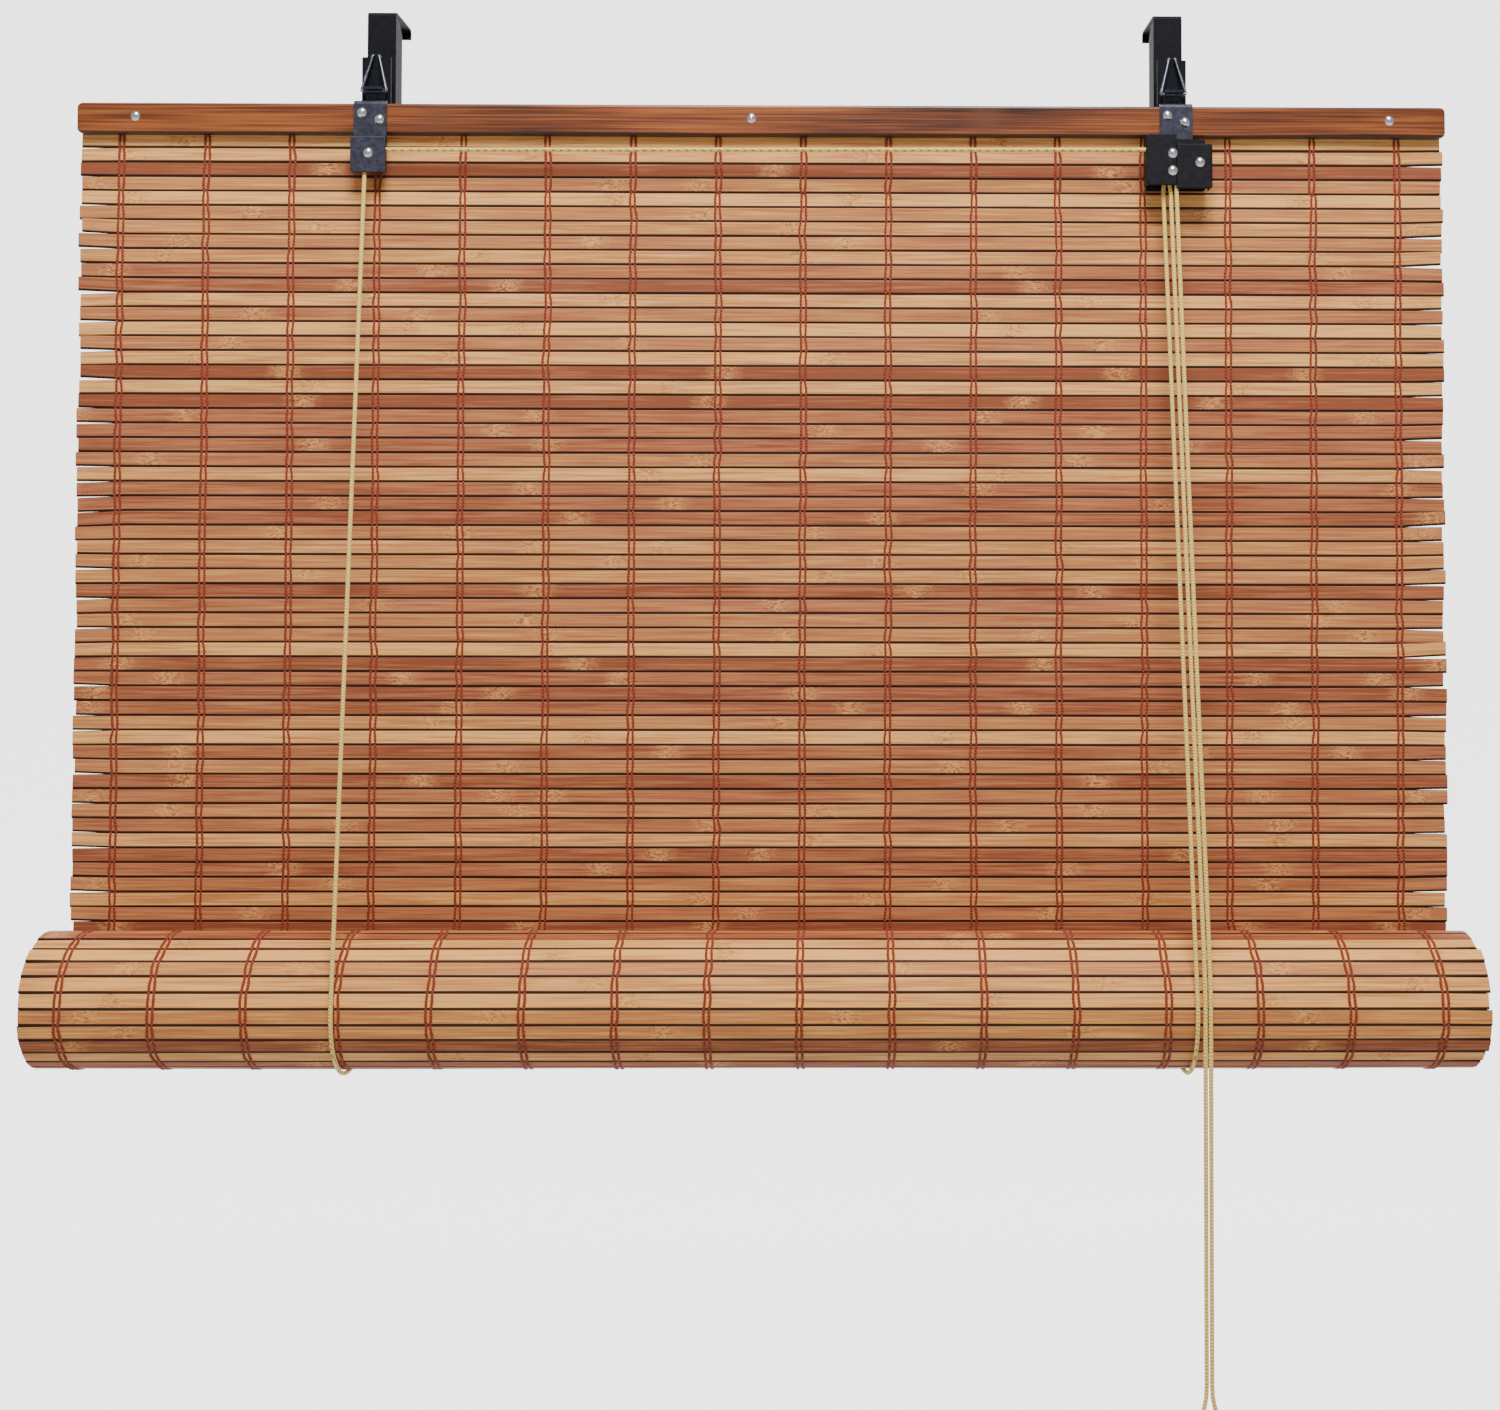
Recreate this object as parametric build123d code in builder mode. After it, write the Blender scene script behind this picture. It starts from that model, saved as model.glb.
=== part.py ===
"""Bamboo roll-up blind, partly rolled up on its lift cords, hung from two over-frame clips.

Millimetres. The origin is on the window frame that carries the blind: X = 0 is the middle of
the blind, Y = 0 is the face of the frame behind the clips and Z = 0 is the frame's top edge.
The room is towards -Y. The mat hangs behind its roll, goes under it and winds up inside it.
"""

import math
import os

from build123d import *

os.makedirs("parts", exist_ok=True)

# Running gap between pieces that move on each other, and the slack round a shank
running_gap = 0.3
hole_slack = 0.05

# Over-frame clip, folded from one sheet
clip_sheet = 1.5
clip_width = 17.0
clip_drop = 59.0
frame_stand_off = 14.0
hook_throat = 22.0
hook_lip = 5.0
leaf_gap = 10.5
leaf_height = 30.0
clip_bend = 2.5

# Wire hanger, bent into a triangle over the clip's leaf
wire_radius = 0.9
wire_half_base = 7.4
wire_half_top = 1.6
wire_bend = 1.2
wire_tail = 7.0
wire_gap = 0.1

# Strap bracket, with a curl that hangs on the wire
strap_sheet = 1.5
strap_width = 19.0
left_strap_x = -229.0
right_strap_x = 241.5
neck_width = 11.0
neck_reach = 8.1
curl_radius = 5.6
curl_lip_angle = 118.0

# Head laths, nails and strap rivets
blind_width = 800.0
lath_height = 18.0
lath_thickness = 5.5
lath_round = 1.6
nail_positions = (-366.0, -7.0, 367.0)
nail_drop = 8.0
head_radius = 2.9
head_height = 1.5
shank_radius = 1.1
tail_radius = 2.0
tail_height = 0.8
strap_rivet_offsets = ((-5.0, 5.8), (5.2, 9.8))

# Slats and the mat that they are stitched into
mat_inset = 2.0
slat_pitch = 8.5
slat_thickness = 1.9
groove_width = 1.3
web_thickness = 0.5
head_slats = 6
hanging_slats = 54
slit_height = 0.6
warp_count = 16
warp_spacing = 49.9
warp_middle = -1.5
band_width = 2.8
band_thickness = 0.25

# Roll and the lath at its core
roll_radius = 38.5
layer_pitch = 2.7
core_radius = 9.2
seen_turn = 300.0

# Cords, coil and pull
cord_diameter = 2.4
cord_slack = 0.1
cord_end_gap = 0.2
left_lift_x = -228.0
right_lift_x = 238.0
left_pull_x = 244.9
right_pull_x = 242.0
pull_drop = 212.0
coil_radius = 21.5
coil_section = 8.6
tie_width = 7.0
tie_wall = 1.0
tie_slack = 0.6
tail_drop = 9.0
pull_radius = 6.5
pull_neck = 3.4
pull_length = 23.0

# Left pulley cover, over the foot of the left strap
cover_sheet = 1.2
cover_width = 20.4
cover_height = 21.0
cover_top = 20.6
cover_depth = 3.6
cover_corner = 1.6
left_pin_drop = 30.3

# Cord lock at the right: two folded covers on one back plate, with two pins and a toothed cam
lock_depth = 8.0
lock_left_edge = -19.5
lock_seam = -1.9
lock_right_edge = 18.9
lock_left_top = 18.8
lock_left_bottom = 48.5
lock_right_top = 24.5
lock_right_bottom = 50.5
lock_pin_offset = -4.0
upper_pin_drop = 30.0
lower_pin_drop = 40.1
cam_pin_offset = 11.8
cam_pin_drop = 35.2
cam_hub_radius = 4.6
cam_nose_angle = 36.0
cam_teeth = 6
cam_tooth = 0.7
lock_exit_drop = 51.2
cord_layers = (1.4, 4.0, 6.6)

# Places worked out from the sizes above
mat_width = blind_width - 2 * mat_inset
leaf_top = leaf_height - clip_drop
lath_top = -clip_drop - running_gap
lath_bottom = lath_top - lath_height
plate_front = -frame_stand_off - clip_sheet
leaf_back = plate_front - leaf_gap
leaf_front = leaf_back - clip_sheet
curl_inner = curl_radius - strap_sheet
curl_y = leaf_front - running_gap - curl_radius
curl_z = lath_top + curl_radius
wire_y = curl_y
wire_z = curl_z + curl_inner - running_gap - wire_radius
strap_front = curl_y - neck_reach
strap_back = strap_front + strap_sheet
mat_front = strap_back + lath_thickness
mat_back = mat_front + slat_thickness
lath_back = mat_back + lath_thickness
head_mat_bottom = lath_top - head_slats * slat_pitch
roll_y = mat_back - roll_radius
roll_z = head_mat_bottom - hanging_slats * slat_pitch
shank_hole = shank_radius + hole_slack
cord_radius = cord_diameter / 2
pin_wrap = shank_radius + cord_slack + cord_radius
sling_radius = roll_radius + running_gap + cord_radius
cover_front = strap_front - cover_depth - cover_sheet
lock_plate = strap_front - cover_sheet
lock_front = lock_plate - lock_depth - cover_sheet
lock_pin_x = right_strap_x + lock_pin_offset
cam_pin_x = right_strap_x + cam_pin_offset
straps = (("left", left_strap_x), ("right", right_strap_x))


def side_plane(x, y=0.0, z=0.0):
    """The plane across the blind at one place, with Y to the right and Z up."""
    return Plane(origin=(x, y, z), x_dir=(0, 1, 0), z_dir=(1, 0, 0))


def front_plane(y, x=0.0, z=0.0):
    """The plane along the blind at one depth, with its normal towards the room."""
    return Plane(origin=(x, y, z), x_dir=(1, 0, 0), z_dir=(0, -1, 0))


def finish(piece, name):
    """Name a finished piece and write it."""
    piece.part.label = name
    export_step(piece.part, f"parts/{name}.step")


# Over-frame clips: lip, top, plate, foot and leaf are one folded strip, and two side flanges
# hold the plate off the frame
clip_path = (
    (hook_throat + clip_sheet, -hook_lip),
    (hook_throat + clip_sheet, clip_sheet),
    (plate_front, clip_sheet),
    (plate_front, clip_sheet - clip_drop),
    (leaf_back, clip_sheet - clip_drop),
    (leaf_back, leaf_top),
)
for side, x in straps:
    with BuildPart() as frame_clip:
        with BuildLine(side_plane(x - clip_width / 2)):
            FilletPolyline(*clip_path, radius=clip_bend)
        make_brake_formed(clip_sheet, clip_width, side=Side.RIGHT)
        for flange_x in (x - clip_width / 2, x + clip_width / 2 - clip_sheet):
            with BuildSketch(side_plane(flange_x)):
                with BuildLine():
                    Polyline(
                        (plate_front + clip_sheet / 2, -clip_bend),
                        (-frame_stand_off / 2, -clip_bend),
                        (0, -clip_bend - frame_stand_off / 2),
                        (0, clip_bend - clip_drop),
                        (plate_front + clip_sheet / 2, clip_bend - clip_drop),
                        close=True,
                    )
                make_face()
            extrude(amount=clip_sheet)
    finish(frame_clip, f"{side}_frame_clip")

# Wire hangers: the base bar lies in the strap's curl, the legs lean back to the leaf's top
# edge and both ends hook down behind it
hook_front_y = leaf_front - wire_radius - wire_gap
hook_rear_y = leaf_back + wire_radius + wire_gap
hook_top_z = leaf_top + wire_radius + wire_gap
for side, x in straps:
    wire_half = (
        (wire_half_top, hook_rear_y, leaf_top - wire_tail),
        (wire_half_top, hook_rear_y, hook_top_z),
        (wire_half_top, hook_front_y, hook_top_z),
        (wire_half_base, wire_y, wire_z),
    )
    wire_points = [(x - across, y, z) for across, y, z in wire_half]
    wire_points += [(x + across, y, z) for across, y, z in reversed(wire_half)]
    with BuildPart() as wire_hanger:
        with BuildLine() as wire_line:
            FilletPolyline(*wire_points, radius=wire_bend)
        with BuildSketch(Plane(origin=wire_points[0], z_dir=(0, 0, 1))):
            Circle(wire_radius)
        sweep(path=wire_line.line)
    finish(wire_hanger, f"{side}_wire_hanger")

# Strap brackets: the leg lies on the front lath, the neck goes back over the lath's top edge,
# narrows and curls round the wire
strap_feet = {
    "left": lath_top - cover_top - cover_height + cover_sheet,
    "right": lath_top - lock_left_bottom + cover_sheet,
}
strap_holes = {
    "left": [(left_strap_x, lath_top - left_pin_drop)],
    "right": [(lock_pin_x, lath_top - drop) for drop in (upper_pin_drop, lower_pin_drop)],
}
for side, x in straps:
    strap_fixings = [(x + across, lath_top - drop) for across, drop in strap_rivet_offsets]
    with BuildPart() as strap_bracket:
        with BuildSketch(side_plane(x)):
            with BuildLine():
                Polyline(
                    (strap_front, strap_feet[side]),
                    (strap_front, lath_top + strap_sheet),
                    (curl_y, lath_top + strap_sheet),
                    (curl_y, lath_top),
                    (strap_back, lath_top),
                    (strap_back, strap_feet[side]),
                    close=True,
                )
            make_face()
        extrude(amount=strap_width / 2, both=True)
        top_edges = strap_bracket.edges().filter_by(Axis.X).group_by(Axis.Z)[-1]
        fillet(top_edges.sort_by(Axis.Y)[0], clip_bend)
        for turn in (1, -1):
            with BuildSketch(Plane.XY.offset(lath_top)):
                with BuildLine():
                    Polyline(
                        (x + turn * neck_width / 2, curl_y),
                        (x + turn * neck_width / 2, curl_y - neck_reach / 3),
                        (x + turn * strap_width / 2, strap_front + clip_bend),
                        (x + turn * strap_width, strap_front + clip_bend),
                        (x + turn * strap_width, curl_y),
                        close=True,
                    )
                make_face()
            extrude(amount=2 * strap_sheet, mode=Mode.SUBTRACT)
        lip = Vector(1, 0, 0).rotate(Axis.Z, curl_lip_angle) * (3 * curl_radius)
        with BuildSketch(side_plane(x, curl_y, curl_z)):
            Circle(curl_radius)
            Circle(curl_inner, mode=Mode.SUBTRACT)
            with BuildLine():
                Polyline(
                    (0, 0),
                    (lip.X, lip.Y),
                    (-3 * curl_radius, -3 * curl_radius),
                    (0, -3 * curl_radius),
                    close=True,
                )
            make_face(mode=Mode.SUBTRACT)
        extrude(amount=neck_width / 2, both=True)
        with BuildSketch(front_plane(strap_front)):
            with Locations(*strap_fixings, *strap_holes[side]):
                Circle(shank_hole)
        extrude(amount=-strap_sheet, mode=Mode.SUBTRACT)
    finish(strap_bracket, f"{side}_strap_bracket")

# Head laths, clamped on both faces of the mat's top edge
nail_fixings = [(x, lath_top - nail_drop) for x in nail_positions]
strap_fixings = [
    (x + across, lath_top - drop) for _, x in straps for across, drop in strap_rivet_offsets
]
for name, lath_front in (("front_lath", strap_back), ("back_lath", mat_back)):
    with BuildPart() as lath:
        with BuildSketch(front_plane(lath_front, z=(lath_top + lath_bottom) / 2)):
            Rectangle(blind_width, lath_height)
        extrude(amount=-lath_thickness)
        fillet(lath.edges().filter_by(Axis.Y), 2 * lath_round)
        outer_faces = lath.faces().filter_by(Axis.Y).sort_by(Axis.Y)
        fillet(outer_faces[0 if name == "front_lath" else -1].edges(), lath_round)
        with BuildSketch(front_plane(lath_front)):
            with Locations(*nail_fixings, *strap_fixings):
                Circle(shank_hole)
        extrude(amount=-lath_thickness, mode=Mode.SUBTRACT)
    finish(lath, name)


def domed_rivet(grip):
    """A domed rivet whose head sits on Z = 0 and whose tail is set over at the grip's far end."""
    dome = (head_radius**2 + head_height**2) / (2 * head_height)
    half_angle = math.asin(head_radius / dome) / 2
    with BuildPart() as rivet:
        with BuildSketch(Plane.XZ):
            with BuildLine():
                ThreePointArc(
                    (0, head_height),
                    (dome * math.sin(half_angle), head_height - dome * (1 - math.cos(half_angle))),
                    (head_radius, 0),
                )
                Polyline(
                    (head_radius, 0),
                    (shank_radius, 0),
                    (shank_radius, -grip),
                    (tail_radius, -grip),
                    (shank_radius, -grip - tail_height),
                    (0, -grip - tail_height),
                    (0, head_height),
                )
            make_face()
        revolve(axis=Axis.Z)
    return rivet.part


def rivet_group(name, fixings, head_y, grip):
    """Equal rivets, each a solid of its own, with their heads towards the room."""
    rivet = domed_rivet(grip)
    with BuildPart() as rivets:
        with Locations(*[front_plane(head_y, x, z) for x, z in fixings]):
            add(rivet)
    finish(rivets, name)


lock_fixings = [(lock_pin_x, lath_top - drop) for drop in (upper_pin_drop, lower_pin_drop)]
rivet_group("head_nails", nail_fixings, strap_back, lath_back - strap_back)
rivet_group("strap_rivets", strap_fixings, strap_front, lath_back - strap_front)
rivet_group(
    "left_pin_rivet",
    [(left_strap_x, lath_top - left_pin_drop)],
    cover_front,
    strap_back - cover_front,
)
rivet_group("lock_pin_rivets", lock_fixings, lock_front, strap_back - lock_front)
rivet_group(
    "cam_pin_rivet",
    [(cam_pin_x, lath_top - cam_pin_drop)],
    lock_front,
    strap_front - lock_front,
)


def folded_cover(left, right, bottom, top, front, back, wall_left, holes, eye=None):
    """A sheet cover with a front, a top flange and one side flange, open below.

    The eye is the depth and height of a hole for a cord through the left flange.
    """
    with BuildPart() as cover:
        with BuildSketch(front_plane(front, (left + right) / 2, (bottom + top) / 2)):
            Rectangle(right - left, top - bottom)
        extrude(amount=front - back)
        outer_x = left if wall_left else right
        corner_edges = cover.edges().filter_by(Axis.Y)
        outer_edges = [edge for edge in corner_edges if abs(edge.center().X - outer_x) < cover_sheet]
        fillet(outer_edges, cover_corner)
        inner_left = left + cover_sheet if wall_left else left
        inner_right = right if wall_left else right - cover_sheet
        inner_top = top - cover_sheet
        inner_centre = ((inner_left + inner_right) / 2, (bottom + inner_top) / 2)
        with BuildSketch(front_plane(front + cover_sheet, *inner_centre)):
            Rectangle(inner_right - inner_left, inner_top - bottom)
        extrude(amount=front + cover_sheet - back, mode=Mode.SUBTRACT)
        fillet(cover.faces().sort_by(Axis.Y)[0].edges(), cover_sheet / 2)
        with BuildSketch(front_plane(front)):
            with Locations(*holes):
                Circle(shank_hole)
        extrude(amount=-cover_sheet, mode=Mode.SUBTRACT)
        if eye:
            with BuildSketch(side_plane(left, *eye)):
                Circle(cord_diameter * 0.8)
            extrude(amount=cover_sheet, mode=Mode.SUBTRACT)
    return cover


# Left pulley cover
left_cover = folded_cover(
    left_strap_x - cover_width / 2,
    left_strap_x + cover_width / 2,
    lath_top - cover_top - cover_height,
    lath_top - cover_top,
    cover_front,
    strap_front,
    True,
    strap_holes["left"],
)
finish(left_cover, "left_pulley_cover")

# Cord lock: back plate, left cover with an eye for the cross cord, and right cover
left_layer_y = strap_front - cover_depth / 2
lift_y, right_pull_y, left_pull_y = [lock_plate - depth for depth in cord_layers]
cross_z = lath_top - upper_pin_drop + pin_wrap
with BuildPart() as lock_back_plate:
    plate_left = right_strap_x + lock_left_edge + cover_sheet
    plate_right = right_strap_x + lock_right_edge - 2 * cover_sheet
    plate_top = lath_top - lock_left_top - cover_sheet
    plate_bottom = lath_top - lock_right_bottom
    plate_middle = ((plate_left + plate_right) / 2, (plate_top + plate_bottom) / 2)
    with BuildSketch(front_plane(lock_plate, *plate_middle)):
        RectangleRounded(plate_right - plate_left, plate_top - plate_bottom, cover_corner)
    extrude(amount=-cover_sheet)
    with BuildSketch(front_plane(lock_plate)):
        with Locations(*lock_fixings, (cam_pin_x, lath_top - cam_pin_drop)):
            Circle(shank_hole)
    extrude(amount=-cover_sheet, mode=Mode.SUBTRACT)
finish(lock_back_plate, "lock_back_plate")

lock_left_cover = folded_cover(
    right_strap_x + lock_left_edge,
    right_strap_x + lock_seam,
    lath_top - lock_left_bottom,
    lath_top - lock_left_top,
    lock_front,
    lock_plate,
    True,
    lock_fixings,
    (left_pull_y, cross_z),
)
finish(lock_left_cover, "lock_left_cover")

lock_right_cover = folded_cover(
    right_strap_x + lock_seam,
    right_strap_x + lock_right_edge,
    lath_top - lock_right_bottom,
    lath_top - lock_right_top,
    lock_front,
    lock_plate,
    False,
    [(cam_pin_x, lath_top - cam_pin_drop)],
)
finish(lock_right_cover, "lock_right_cover")

# Lock cam: a hub on the right pin and a toothed nose that pinches the cords
nose_reach = cam_pin_x - (lock_pin_x + pin_wrap + cord_radius + running_gap)
cam_length = lock_depth - 2 * running_gap


def nose_point(step):
    """A tip or a root of the nose's teeth, in turn from the top one to the bottom one."""
    angle = math.radians(180 + cam_nose_angle * (step / (2 * cam_teeth) - 0.5))
    reach = nose_reach - (cam_tooth if step % 2 else 0)
    return (reach * math.cos(angle), reach * math.sin(angle))


with BuildPart() as lock_cam:
    cam_plane = front_plane(lock_plate - running_gap, cam_pin_x, lath_top - cam_pin_drop)
    with BuildSketch(cam_plane):
        Circle(cam_hub_radius)
        with BuildLine():
            teeth = [nose_point(step) for step in range(2 * cam_teeth + 1)]
            Polyline((0, cam_hub_radius * 0.9), *teeth, (0, -cam_hub_radius * 0.9), close=True)
        make_face()
        Circle(shank_hole, mode=Mode.SUBTRACT)
    extrude(amount=cam_length)
finish(lock_cam, "lock_cam")


def mat_section(count, top_z):
    """Outline of a hanging stretch of mat: one ridge for each slat, with a web in each groove."""
    web_step = (slat_thickness - web_thickness) / 2
    front = []
    back = []
    for slat in range(count):
        z = top_z - slat * slat_pitch
        face = (z - groove_width / 2, z - slat_pitch + groove_width / 2)
        front += [(mat_front + web_step, z), (mat_front, face[0]), (mat_front, face[1])]
        back += [(mat_back - web_step, z), (mat_back, face[0]), (mat_back, face[1])]
    end_z = top_z - count * slat_pitch
    front.append((mat_front + web_step, end_z))
    back.append((mat_back - web_step, end_z))
    return front + back[::-1]


def hanging_mat(name, count, top_z, fixings):
    """A stretch of mat, open between the slats' ends out to the edges."""
    outer_warp = warp_spacing * (warp_count - 1) / 2
    with BuildPart() as mat:
        with BuildSketch(side_plane(-mat_width / 2)):
            with BuildLine():
                Polyline(*mat_section(count, top_z), close=True)
            make_face()
        extrude(amount=mat_width)
        slits = [(0, top_z - slat * slat_pitch) for slat in range(1, count)]
        for edge_x, warp_x in (
            (-mat_width / 2, warp_middle - outer_warp - band_width),
            (mat_width / 2, warp_middle + outer_warp + band_width),
        ):
            slit_length = abs(edge_x - warp_x)
            with BuildSketch(front_plane(mat_front, (edge_x + warp_x) / 2)):
                with Locations(*slits):
                    Rectangle(slit_length, slit_height)
            extrude(amount=-slat_thickness, mode=Mode.SUBTRACT)
        if fixings:
            with BuildSketch(front_plane(mat_front)):
                with Locations(*fixings):
                    Circle(shank_hole)
            extrude(amount=-slat_thickness, mode=Mode.SUBTRACT)
    finish(mat, name)


hanging_mat("head_mat", head_slats, lath_top, nail_fixings + strap_fixings)
hanging_mat("hanging_mat", hanging_slats, head_mat_bottom, [])


def roll_point(angle, inset):
    """A point of the rolled mat. The angle runs from the back, under the roll and round."""
    radius = roll_radius - layer_pitch * angle / (2 * math.pi) - inset
    return (radius * math.cos(angle), -radius * math.sin(angle))


def slat_angles():
    """Where each slat of the roll starts, counted along the mat from the roll's back."""
    angles = [0.0]
    radius = roll_radius
    while radius > core_radius + slat_thickness:
        angles.append(angles[-1] + slat_pitch / (radius - slat_thickness / 2))
        radius = roll_radius - layer_pitch * angles[-1] / (2 * math.pi)
    return angles


roll_angles = slat_angles()
outer_side = []
inner_side = []
for start, end in zip(roll_angles, roll_angles[1:]):
    half_groove = (end - start) * groove_width / slat_pitch / 2
    outer_side.append(roll_point(start, (slat_thickness - web_thickness) / 2))
    outer_side.append(roll_point(start + half_groove, 0))
    outer_side.append(roll_point(end - half_groove, 0))
    inner_side.append(roll_point(start, slat_thickness))
outer_side.append(roll_point(roll_angles[-1], 0))
inner_side.append(roll_point(roll_angles[-1], slat_thickness))
with BuildPart() as rolled_mat:
    with BuildSketch(side_plane(-mat_width / 2, roll_y, roll_z)):
        with BuildLine():
            Polyline(*outer_side, *inner_side[::-1], close=True)
        make_face()
    extrude(amount=mat_width)
finish(rolled_mat, "rolled_mat")

# Bottom lath, wound into the core of the roll
with BuildPart() as bottom_lath:
    with BuildSketch(side_plane(-blind_width / 2, roll_y, roll_z)):
        RectangleRounded(lath_thickness, lath_height, lath_round)
    extrude(amount=blind_width)
finish(bottom_lath, "bottom_lath")

# Warp bands: the pair of stitched threads at each warp, over both faces of the hanging mat
# and round the seen part of the roll
warp_positions = [
    warp_middle + warp_spacing * (warp - (warp_count - 1) / 2) for warp in range(warp_count)
]


def straight_bands(name, top_z, bottom_z):
    """The warp bands of one hanging stretch, in front of the mat and behind it."""
    with BuildPart() as bands:
        for face_y in (mat_front, mat_back + band_thickness):
            with BuildSketch(front_plane(face_y)):
                with Locations(*[(x, (top_z + bottom_z) / 2) for x in warp_positions]):
                    Rectangle(band_width, top_z - bottom_z)
            extrude(amount=band_thickness)
    finish(bands, name)


straight_bands("head_warps", lath_bottom, head_mat_bottom)
straight_bands("hanging_warps", head_mat_bottom, roll_z)

band_angles = []
for start, end in zip(roll_angles, roll_angles[1:]):
    if end < math.radians(seen_turn):
        half_groove = (end - start) * groove_width / slat_pitch / 2
        band_angles += [start + half_groove, end - half_groove]
with BuildPart() as roll_warps:
    for x in warp_positions:
        with BuildSketch(side_plane(x - band_width / 2, roll_y, roll_z)):
            with BuildLine():
                outer_band = [roll_point(angle, -band_thickness) for angle in band_angles]
                inner_band = [roll_point(angle, 0) for angle in band_angles]
                Polyline(*outer_band, *inner_band[::-1], close=True)
            make_face()
        extrude(amount=band_width)
finish(roll_warps, "roll_warps")


def cord(name, points, radii):
    """A length of cord: straight runs with a tangent arc at each inner point."""
    start = Vector(points[0])
    with BuildPart() as tube:
        with BuildLine() as route:
            if len(points) > 2:
                FilletPolyline(*points, radius=radii)
            else:
                Line(*points)
        with BuildSketch(Plane(origin=start, z_dir=Vector(points[1]) - start)):
            Circle(cord_radius)
        sweep(path=route.line)
    length = sum(edge.length for edge in route.edges())
    expected = math.pi * cord_radius**2 * length
    print(f"{name}: length {length:.1f}, radii {radii}, volume {tube.part.volume / expected:.4f}")
    finish(tube, name)


# Lift cords: down behind the mat, round the roll and up its front to the pins
front_y = roll_y - sling_radius
back_y = roll_y + sling_radius
lift_exits = {
    "left": (left_strap_x - pin_wrap, left_layer_y, lath_top - cover_top - cover_height),
    "right": (right_strap_x + lock_pin_offset - 4.3, lift_y, lath_top - lock_exit_drop),
}
for side, x in (("left", left_lift_x), ("right", right_lift_x)):
    cord(f"{side}_back_cord", [(x, back_y, lath_bottom), (x, back_y, roll_z)], [])
    exit_point = lift_exits[side]
    reach_y = roll_y - exit_point[1]
    reach_z = exit_point[2] - roll_z
    lean = math.asin(sling_radius / math.hypot(reach_y, reach_z)) - math.atan2(reach_y, reach_z)
    touch_y = roll_y - sling_radius * math.cos(lean)
    touch_z = roll_z + sling_radius * math.sin(lean)
    front_top = (exit_point[0], exit_point[1], exit_point[2] - cord_end_gap)
    cord(f"{side}_front_cord", [front_top, (x, touch_y, touch_z)], [])
    with BuildPart() as sling:
        with BuildLine(side_plane(x, roll_y, roll_z)) as sling_line:
            CenterArc((0, 0), sling_radius, 0, -180 - math.degrees(lean))
        with BuildSketch(Plane(origin=(x, back_y, roll_z), z_dir=(0, 0, -1))):
            Circle(cord_radius)
        sweep(path=sling_line.line)
    print(f"{side}_sling: length {sling_line.edges()[0].length:.1f}, radius {sling_radius:.1f}")
    finish(sling, f"{side}_sling")

# Cross cord: round the left pin, along the head, over the upper lock pin and out below
left_pin_z = lath_top - left_pin_drop
cross_points = [
    lift_exits["left"],
    (left_strap_x - pin_wrap, left_layer_y, left_pin_z + pin_wrap),
    (lock_pin_x + pin_wrap, left_pull_y, cross_z),
    (lock_pin_x + pin_wrap, left_pull_y, lath_top - lock_exit_drop),
]
cord("cross_cord", cross_points, [pin_wrap, pin_wrap])

# Right turn of cord: up, over the upper pin, then behind the lower pin and out below
turn_exit = (lock_pin_x - 0.5, right_pull_y, lath_top - lock_exit_drop)
turn_points = [
    lift_exits["right"],
    (lock_pin_x - pin_wrap - cord_slack, lift_y, cross_z),
    (lock_pin_x + pin_wrap, right_pull_y, cross_z),
    (lock_pin_x + pin_wrap, right_pull_y, cross_z - 2 * pin_wrap),
    (lock_pin_x - pin_wrap - 2 * cord_slack - 0.2, right_pull_y, lath_top - lower_pin_drop + 1.6),
    turn_exit,
]
cord("lock_turn_cord", turn_points, [pin_wrap * 0.9, pin_wrap * 0.9, 2.6, 2.6])

# Pull cords: out of the lock, over the front of the roll and straight down
coil_top = roll_z - pull_drop
pulls = (
    ("left", cross_points[-1], left_pull_x),
    ("right", turn_exit, right_pull_x),
)
for side, exit_point, x in pulls:
    lean = math.atan2(exit_point[1] - front_y, exit_point[2] - roll_z)
    drape = [
        (exit_point[0], exit_point[1], exit_point[2] - cord_end_gap),
        (x, front_y, roll_z + sling_radius * math.tan(lean / 2)),
        (x, front_y, roll_z),
    ]
    cord(f"{side}_pull_drape", drape, [0.9 * sling_radius])
    cord(f"{side}_pull_cord", [(x, front_y, roll_z), (x, front_y, coil_top)], [])

# Coil of the put-away length, its tie, the two tails and the turned pull
coil_x = (left_pull_x + right_pull_x) / 2
tie_radius = coil_section + tie_slack + tie_wall
coil_z = coil_top - tie_radius - coil_radius
with BuildPart() as cord_coil:
    with BuildSketch(side_plane(coil_x, front_y, coil_z + coil_radius)):
        Circle(coil_section)
    revolve(axis=Axis((coil_x, front_y, coil_z), (0, 1, 0)))
finish(cord_coil, "cord_coil")

with BuildPart() as coil_tie:
    with BuildSketch(side_plane(coil_x - tie_width / 2, front_y, coil_z + coil_radius)):
        Circle(tie_radius)
        Circle(tie_radius - tie_wall, mode=Mode.SUBTRACT)
    extrude(amount=tie_width)
finish(coil_tie, "coil_tie")

coil_bottom = coil_z - coil_radius - coil_section
pull_top = coil_bottom - tail_drop
with BuildPart() as cord_tails:
    with BuildSketch(Plane.XY.offset(coil_bottom)):
        with Locations((left_pull_x, front_y), (right_pull_x, front_y)):
            Circle(cord_radius)
    extrude(amount=-tail_drop)
finish(cord_tails, "cord_tails")

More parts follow.
